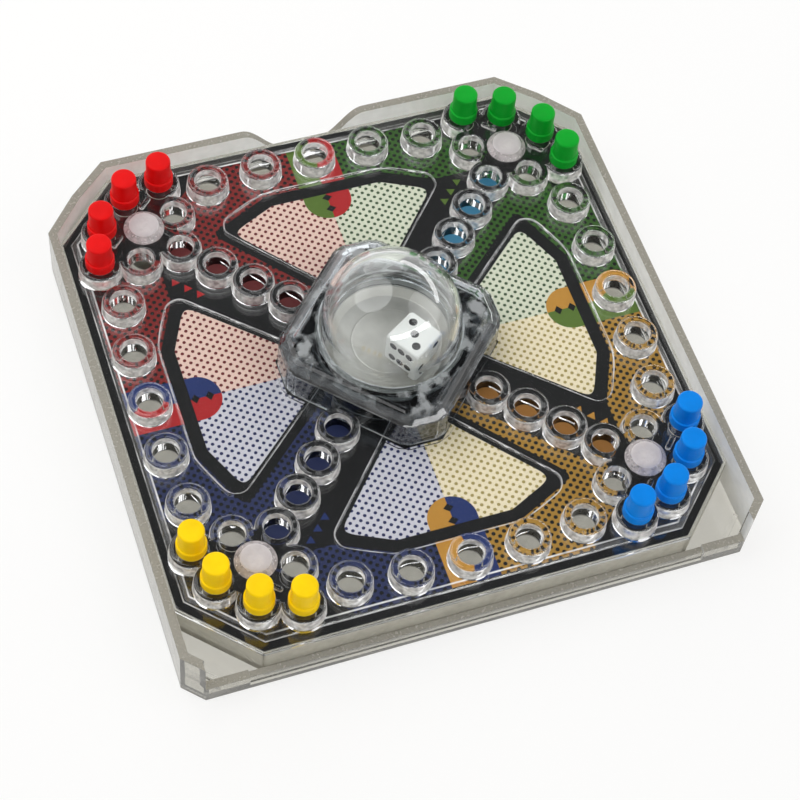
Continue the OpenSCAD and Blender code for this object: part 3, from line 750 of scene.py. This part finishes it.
# A small bar with a rounded back, beside the stud
def barMesh(degrees, side):
    reach, lift = cornerReach - deck["barIn"], board["ringTop"] - deck["barSunk"]
    w, l = deck["barWidth"] / 2, deck["barLength"] / 2
    outline = roundedOutline([(-w, -l), (w, -l), (w, l), (-w, l)], w * 0.95, 6)
    levels = ((0, 1), (0.45, 1), (0.68, 0.9), (0.82, 0.68), (deck["barHeight"] + deck["barSunk"], 0.35))
    rings = []
    for z, scale in levels:
        shorter = 1 - (1 - scale) * w / l
        points = [(reach + x * scale, side * deck["barSide"] + y * shorter) for x, y in outline]
        rings.append([(*turned(p, degrees + 45), lift + z) for p in points])
    return loftMesh("bar", rings)


deckObject, housingStand = deckBody()
everySpace = atQuarters(trackRow + cornerSpaces + homeSpaces + startSpaces)
spaces = pointsObject("spaces", [(*p, 0) for p in everySpace])
ringSolid, boreTool = newObject("ringSolid", ringMesh()), newObject("boreTool", boreMesh())
runTree(deckObject, *ringTree(), Spaces=spaces, Ring=ringSolid, Bore=boreTool, Finish=clearDeck)
for helper in (spaces, ringSolid, boreTool):
    bpy.data.objects.remove(helper)

cuts = [("DIFFERENCE", housingStand)]
cuts += [("UNION", barMesh(a, s)) for a in quarters for s in (-1, 1)]
for degrees in quarters:
    tool = panelTool(degrees)
    cuts.append(("DIFFERENCE", tool.data))
    bpy.data.objects.remove(tool)

for points, radius in ((studPlaces, deck["studHole"]), (postPlaces, deck["postHole"]),
                       ([(0, 0)], deck["middleHole"])):
    cuts += [("DIFFERENCE", columnMesh("hole", radius, cardTop - 2, board["ringTop"] + 2, p, 32))
             for p in points]
deckMesh = deckObject.data
bpy.data.objects.remove(deckObject)
deckObject = soften(solidFrom("clear_deck", deckMesh, cuts), 0)
place(deckObject, clearDeck, "game_unit", "clear_deck", "peg_deck", "track_rings", "corner_sockets")
deckObject.data.materials.append(deckWall)
for face in deckObject.data.polygons:
    lowest = min(deckObject.data.vertices[i].co.z for i in face.vertices)
    face.material_index = int(abs(face.normal.z) < 0.5 and lowest > (board["deckTop"] + 0.4) * mm)

# Tray
print("tray")

tray = {
    "half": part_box("carry_tray")[1].x / mm, "top": topOf("carry_tray"), "wall": 2.2,
    "floor": footOf("base_pan") - board["airGap"],
    "frontCut": 4.8, "backFan": 3.8, "gap": 0.3,
    "frontHigh": 6.0, "frontLow": 4.9, "frontEnd": 15.7, "frontBack": 0.6,
    "notchTop": 17, "notchBottom": 5, "notchDepth": 9.4, "edgeRound": 0.3,
    "ribLength": 8.4, "ribWidth": 1.2, "ribHeight": 1.6, "ribIn": 11.5,
}


def trayLines(inset):
    front = (2 * tray["half"] - tray["frontCut"]) / math.sqrt(2) - inset
    fan = tray["backFan"]
    cutEnd = (cornerReach, board["cut"] / math.sqrt(2))
    back = turned(cutEnd, -fan)[0] + tray["gap"] + tray["wall"] - inset
    return ([(a, tray["half"] - inset) for a in quarters] + [(-45, front), (-135, front)]
            + [(a, back) for a in (45 - fan, 45 + fan, 135 - fan, 135 + fan)])


def notchOutline():
    steps = 14
    points = []
    for k in range(steps + 1):
        fall = tray["notchDepth"] * (1 + math.cos(math.pi * k / steps)) / 2
        points.append((tray["notchBottom"] + (tray["notchTop"] - tray["notchBottom"]) * k / steps,
                       tray["top"] - fall))
    points += [(tray["notchTop"], tray["top"] + 1), (-tray["notchTop"], tray["top"] + 1)]
    return points + [(-x, z) for x, z in reversed(points[:steps + 1])]


def boxMesh(name, low, high):
    points = [(low[0], low[1]), (high[0], low[1]), (high[0], high[1]), (low[0], high[1])]
    return prismMesh(name, points, low[2], high[2])


def trayMesh():
    h, top = tray["half"], tray["top"]
    lowEnd = h - tray["frontEnd"]
    wall = -h + tray["wall"] + 0.5
    notch = [[(x, y, z) for x, z in notchOutline()] for y in (h + 1, h - tray["wall"] - 1)]
    steps = [
        ("DIFFERENCE", prismMesh("hollow", outlineOf(trayLines(tray["wall"])), tray["floor"], top + 1)),
        ("DIFFERENCE", boxMesh("frontHigh", (-h + tray["frontCut"], -h - 1, tray["frontHigh"]),
                               (h - tray["frontCut"], wall, top + 1))),
        ("DIFFERENCE", boxMesh("frontLow", (-lowEnd, -h - 1, tray["frontLow"]), (lowEnd, wall, top + 1))),
        ("DIFFERENCE", boxMesh("frontBack", (-lowEnd, -h - 1, tray["floor"]),
                               (lowEnd, -h + tray["frontBack"], top + 1))),
        ("DIFFERENCE", loftMesh("notch", notch)),
    ]
    middle = (2 * h - tray["ribIn"]) / math.sqrt(2)
    w, l = tray["ribWidth"] / 2, tray["ribLength"] / 2
    for degrees in (-45, -135):
        points = [turned((middle + x, y), degrees) for x, y in ((-w, -l), (w, -l), (w, l), (-w, l))]
        rib = prismMesh("rib", points, tray["floor"] - 0.2, tray["floor"] + tray["ribHeight"])
        steps.append(("UNION", rib))
    return solidFrom("case_tray", prismMesh("trayBlock", outlineOf(trayLines(0)), 0, top), steps)


trayObject = place(soften(trayMesh(), tray["edgeRound"]), clearTray, "tray", "clear_tray", "carry_tray")
for material in (trayWall, trayRim, trayInsidePaintedLight):
    trayObject.data.materials.append(material)
for face in trayObject.data.polygons:
    # inner upright faces take the whiter haze, which is painted light; outer upright faces take the greyer
    # one
    if abs(face.normal.z) < 0.5:
        face.material_index = 3 if face.normal.dot(face.center) < 0 else 1
    elif face.normal.z > 0 and face.center.z > (tray["floor"] + tray["ribHeight"] + 0.5) * mm:
        face.material_index = 2

# Housing
print("housing")

housing = {
    "foot": board["deckTop"] + board["airGap"], "top": topOf("popper_housing"),
    "postFoot": footOf("popper_housing"), "shoulder": 2.6, "shoulderIn": 2.8, "cornerRound": 1.6,
    "wall": 1.4, "roof": 1.8, "guide": 19.1, "guideWall": 1.0, "opening": 17.8, "mouth": 0.5,
    "post": 2.4, "screw": 0.9, "screwDepth": 6.25,
}


def housingBlock(name, inset, low, drop):
    top = housing["top"] - drop
    turn, slope = top - housing["shoulder"] + drop / 2, housing["shoulderIn"]
    levels = [(low, 0), (turn - 0.4, 0), (turn + 0.15, 0.06), (turn + 0.5, 0.35), (top - 0.75, slope - 1.1),
              (top - 0.3, slope - 0.45), (top - 0.06, slope + 0.1), (top, slope + 0.6)]
    rings = []
    for z, i in levels:
        outline = roundedOutline(outlineOf(housingLines(inset + i)), housing["cornerRound"], 3)
        rings.append([(x, y, z) for x, y in outline])
    return loftMesh(name, rings)


def housingMesh():
    foot, top, guide, postFoot = (housing[key] for key in ("foot", "top", "guide", "postFoot"))
    tube = columnMesh("tube", guide + housing["guideWall"], foot, top - 1, segments=96)
    bore = columnMesh("tubeBore", guide, foot - 1, top - housing["roof"], segments=96)
    lip, mouth = housing["opening"], housing["mouth"]
    profile = [(0, foot), (lip, foot)] + quarterArc(lip, top, mouth, outward=False)
    opening = latheMesh("opening", profile + [(lip + mouth, top + 1), (0, top + 1)], segments=96)
    hollow = housingBlock("hollow", housing["wall"], foot - 1, housing["roof"])
    steps = [("DIFFERENCE", hollow), ("UNION", tube)]
    postTop, holeTop = top - housing["wall"], postFoot + housing["screwDepth"]
    steps += [("UNION", columnMesh("post", housing["post"], postFoot, postTop, p, 40)) for p in postPlaces]
    steps += [("DIFFERENCE", bore), ("DIFFERENCE", opening)]
    steps += [("DIFFERENCE", columnMesh("screwHole", housing["screw"], postFoot - 1, holeTop, p, 24))
              for p in postPlaces]
    return solidFrom("dome_housing", housingBlock("block", 0, foot, 0), steps)


place(soften(housingMesh(), 0), clearHousing, "game_unit", "clear_housing", "popper_housing")

# Dome
print("dome")

dome = {
    "radius": 17.5, "wall": 1.4, "foot": footOf("popper_dome"), "flange": 1.3, "flangeLow": 20.15,
    "flangeHigh": 21.55, "steps": 24,
}


def domeMesh():
    r, foot, count = dome["radius"], dome["foot"], dome["steps"]
    c, inner, out = topOf("popper_dome") - r, r - dome["wall"], r + dome["flange"]
    low, high = dome["flangeLow"], dome["flangeHigh"]
    angles = [math.pi / 2 * k / count for k in range(count)]
    profile = [(0, c + inner)] + [(inner * math.cos(a), c + inner * math.sin(a)) for a in reversed(angles)]
    profile += [(inner, foot + 0.2), (inner + 0.2, foot), (r - 0.2, foot), (r, foot + 0.2), (r, low),
                (out - 0.15, low), (out, low + 0.15), (out, high - 0.15), (out - 0.15, high),
                (r + 0.2, high), (r, high + 0.2)]
    profile += [(r * math.cos(a), c + r * math.sin(a)) for a in angles] + [(0, c + r)]
    return latheMesh("press_dome", profile, segments=96)


place(soften(newObject("press_dome", domeMesh()), 0), clearDome, "dome", "clear_dome", "popper_dome")

# Snap disc
print("snap disc")

snapDisc = {"foot": footOf("snap_disc"), "top": topOf("snap_disc"), "thick": 0.35, "floor": 14.6,
            "lip": 16.1, "outer": 18.8, "groove": 9.8, "grooveDepth": 0.12, "pressed": 2.0}


def discMesh():
    keys = ("foot", "top", "thick", "floor", "lip", "outer", "groove")
    foot, top, t, floor, lip, outer, groove = (snapDisc[key] for key in keys)
    upper = foot + t
    low = upper - snapDisc["grooveDepth"]
    profile = [(0, foot), (floor, foot), (lip, top - t), (outer, top - t), (outer, top), (lip - t, top),
               (floor - t * 1.5, upper + 0.12), (floor - t * 2.5, upper), (groove + 0.3, upper),
               (groove + 0.1, low), (groove - 0.1, low), (groove - 0.3, upper), (0, upper)]
    return latheMesh("snap_plate", profile, segments=96)


snapPlate = soften(newObject("snap_plate", discMesh()), 0)
place(snapPlate, steel, "game_unit", "spring_steel", "snap_disc")
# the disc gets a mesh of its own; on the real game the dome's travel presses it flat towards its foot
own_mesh(snapPlate)

# Die
print("die")

die = {"edge": 10.0, "x": 4.1, "y": -5.6, "turn": 31.8, "spotRadius": 1.1, "spotDepth": 0.25,
       "spotStep": 2.5, "edgeRound": 0.5, "cornerOff": 0.6}


def dieMesh():
    h, s = die["edge"] / 2, die["spotStep"]
    cube = newObject("dieCube", boxMesh("dieBlock", (-h, -h, -h), (h, h, h)))
    bevel = cube.modifiers.new("edges", "BEVEL")
    bevel.width, bevel.segments = die["edgeRound"] * mm, 4
    settle(cube)
    cube.data.materials.append(whiteDie)
    ballMesh = latheMesh("ball", ballProfile(h * math.sqrt(3) - die["cornerOff"], 48), segments=96)
    ballMesh.materials.append(whiteDie)
    corners, middle = [(a, b) for a in (s, -s) for b in (s, -s)], [(0, 0)]
    faces = [      # three on top, four below it, and the four sides
        (0, "X", [(s, s), (0, 0), (-s, -s)]),
        (180, "X", corners),
        (-90, "Y", [(a, b) for a in (s, -s) for b in (s, 0, -s)]),
        (90, "Y", middle),
        (90, "X", [(s, s), (-s, -s)]),
        (-90, "X", corners + middle),
    ]
    r, d = die["spotRadius"], die["spotDepth"]
    cup = (r * r + d * d) / (2 * d)
    steps = [("INTERSECT", ballMesh)]
    for degrees, axis, places in faces:
        for x, y in places:
            spot = latheMesh("spot", ballProfile(cup, 24), segments=32)
            spot.transform(Matrix.Translation(Vector((x, y, h + cup - d)) * mm))
            spot.transform(Matrix.Rotation(math.radians(degrees), 4, axis))
            spot.materials.append(blackSpot)
            steps.append(("DIFFERENCE", spot))
    mesh = cube.data
    bpy.data.objects.remove(cube)
    made = solidFrom("small_die", mesh, steps)
    centre = Vector((die["x"], die["y"], footOf("die") + h)) * mm
    made.data.transform(Matrix.Translation(centre) @ Matrix.Rotation(math.radians(die["turn"]), 4, "Z"))
    return made


place(soften(dieMesh(), 0), None, "loose_die", "white_plastic", "die")

# Studs in the corners
print("studs and pegs")

stud = {"head": 5.2, "flat": 3.6, "height": 2.0, "shank": 1.9, "meltedBelow": 0.3}


def studMesh():
    top, foot = topOf("corner_rivets"), footOf("corner_rivets")
    seat = top - stud["height"] + board["airGap"]
    head, flat, shank = stud["head"], stud["flat"], stud["shank"]
    profile = [(0, foot), (shank, foot), (shank, seat), (head - 0.15, seat), (head, seat + 0.2),
               (head - 0.08, seat + 0.55), (head - 0.5, seat + 1.0), (head - 1.0, seat + 1.45),
               (flat + 0.2, top - 0.25), (flat, top - 0.08), (flat - 0.3, top), (2.4, top - 0.05),
               (0, top - 0.12)]
    return latheMesh("stud", profile, segments=48)


# Sets one solid on each point
def scatterTree():
    tree, ids, add, start = startTree("solidsOnPoints", {"Solid": "Object"})
    shape = add("ObjectInfo", named={"Object": start["Solid"]}, output=4)
    placed = add("InstanceOnPoints", named={"Points": start["Geometry"], "Instance": shape})
    return endTree(tree, ids, add, start, placed)


scatter = scatterTree()


def scattered(name, solid, points, material):
    made = pointsObject(name, [(*p, 0) for p in points])
    return runTree(made, *scatter, Solid=solid, Finish=material)


studSolid = newObject("studSolid", studMesh())
studs = scattered("corner_studs", studSolid, studPlaces, studPlastic)
bpy.data.objects.remove(studSolid)
place(soften(studs, 0), studPlastic, "game_unit", "frosted_plastic", "corner_rivets")
studs.data.materials.append(meltedRim)
for face in studs.data.polygons:
    face.material_index = int(face.center.z < (topOf("corner_rivets") - stud["meltedBelow"]) * mm)

# Pegs

peg = {
    "collar": 3.75, "collarHeight": 3.0, "head": 3.25, "slope": 0.4, "height": 9.0, "stem": 4.6,
    "stemRadius": 3.05, "round": 0.5, "collarRound": 0.25,
    "colours": {"red": "#e20406", "green": "#02a028", "blue": "#0082e2", "yellow": "#ffd400"},
    "quarter": {"red": 90, "green": 0, "blue": 270, "yellow": 180},
}


def pegMesh():
    seat, collar, head, stem = board["ringTop"], peg["collar"], peg["head"], peg["stemRadius"]
    foot, collarTop, top = seat - peg["stem"], seat + peg["collarHeight"], seat + peg["height"]
    profile = [(0, foot), (stem - 0.3, foot), (stem, foot + 0.3), (stem, seat), (collar - 0.3, seat),
               (collar - 0.05, seat + 0.2), (collar, seat + 0.5)]
    profile += quarterArc(collar, collarTop, peg["collarRound"], 3)
    profile += [(head + 0.12, collarTop + 0.1), (head, collarTop + peg["slope"])]
    profile += quarterArc(head - 0.05, top, peg["round"]) + [(head * 0.45, top - 0.02), (0, top - 0.05)]
    return latheMesh("peg", profile, segments=48)


pegSolid = newObject("pegSolid", pegMesh())
for colour, code in peg["colours"].items():
    plastic = mouldedPlastic(colour + "Plastic", code, 0.36, 0.02)
    for k, start in enumerate(startSpaces, 1):
        node = f"{colour}_peg_{k}"
        made = scattered(node + "_moulded", pegSolid, [turned(start, peg["quarter"][colour])], plastic)
        place(soften(made, 0), plastic, node + "_body", colour + "_plastic", node)
bpy.data.objects.remove(pegSolid)

# Packed pieces that stay
for node, material in (("base_pan", clearPan), ("printed_card", cardPrint), ("housing_screws", screwSteel)):
    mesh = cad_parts[node].data
    for i in range(len(mesh.materials)):
        mesh.materials[i] = material

# Stage, light and camera
print("stage")

studio = {
    "floorHalf": 3.0, "pale": "#f4f3f0", "ownLight": 0.72, "roomLight": 0.5,
    # place and size in metres, and power in watts
    "boxes": {"keyLight": ((-0.45, 0.3, 0.8), 1.1, 5), "fillLight": ((0.7, -0.4, 0.65), 1.1, 3),
              "rearLight": ((0.1, 0.95, 0.5), 0.9, 2.5)},
    "strips": {"frontStrip": (0.2, -0.87, 0.45), "sideStrip": (0.8, 0.42, 0.42)},
    "stripLength": 1.3, "stripWidth": 0.16, "stripPower": 4.5,
    "camera": (-124.5, -269.6, 471.0), "aim": (-2.9, -17.25, 16.4), "roll": 8.24, "lens": 97.1,
}


# 1 for what the camera sees, also in a reflection or through clear plastic; 0 for light on a piece
def seenDirectly(add):
    names = ("Is Camera Ray", "Is Glossy Ray", "Is Transmission Ray")
    first = greatest(add, *(add("LightPath", output=name) for name in names))
    return add("Math SUBTRACT", first, add("LightPath", output="Diffuse Depth"), use_clamp=True)


def floorPiece():
    material, add = newMaterial("paleFloor")
    surface = add("BsdfDiffuse", linearColour(studio["pale"]))
    glow = add("Emission", (1, 1, 1, 1), 1.0)
    share = add("Math MULTIPLY", seenDirectly(add), studio["ownLight"])
    add("OutputMaterial", add("MixShader", share, surface, glow))
    size = studio["floorHalf"]
    mesh = bpy.data.meshes.new("floor")
    mesh.from_pydata([(*turned((size, size), a), -0.1 * mm) for a in (180, 270, 0, 90)], [], [(0, 1, 2, 3)])
    mesh.materials.append(material)
    newObject("floor", mesh)


def softWorld():
    world = bpy.data.worlds.new("studio")
    world.use_nodes = True
    world.node_tree.nodes.clear()
    bpy.context.scene.world = world
    add = nodeAdder(world.node_tree)
    up = add("SeparateXYZ", add("TexCoord", output=0), output=2)
    room = add("MapRange", up, 0.3, 0.8, 1.0, 0.08)
    level = add("Mix", add("LightPath", output="Is Camera Ray"), named={2: room, 3: 1.0})
    level = add("Mix", seenDirectly(add), named={2: studio["roomLight"], 3: level})
    add("OutputWorld", add("Background", (1, 1, 1, 1), level))


def softBox(name, stand, size, power):
    light = bpy.data.lights.new(name, "AREA")
    light.shape, light.size, light.energy = "DISK", size, power
    lamp = newObject(name, light)
    lamp.location = stand
    lamp.rotation_euler = (-Vector(stand)).to_track_quat("-Z", "Y").to_euler()
    return lamp


floorPiece()
softWorld()
for name, values in studio["boxes"].items():
    softBox(name, *values)
# narrow lamps that show in reflections only
for name, stand in studio["strips"].items():
    strip = softBox(name, stand, studio["stripLength"], studio["stripPower"])
    strip.data.shape, strip.data.size_y = "RECTANGLE", studio["stripWidth"]
    strip.visible_diffuse = strip.visible_transmission = False


def photoCamera():
    camera = bpy.data.cameras.new("camera")
    camera.lens, camera.sensor_width = studio["lens"], 36
    camera.clip_start, camera.clip_end = 0.01, 20
    made = newObject("camera", camera)
    stand, aim = Vector(studio["camera"]) * mm, Vector(studio["aim"]) * mm
    look = (aim - stand).to_track_quat("-Z", "Y").to_matrix().to_4x4()
    roll = Matrix.Rotation(math.radians(studio["roll"]), 4, "Z")
    made.matrix_world = Matrix.Translation(stand) @ look @ roll
    bpy.context.scene.camera = made


photoCamera()
bpy.context.scene.view_settings.view_transform = "Standard"
cycles = bpy.context.scene.cycles
cycles.max_bounces = cycles.transmission_bounces = 16
cycles.transparent_max_bounces = 24

print("done")
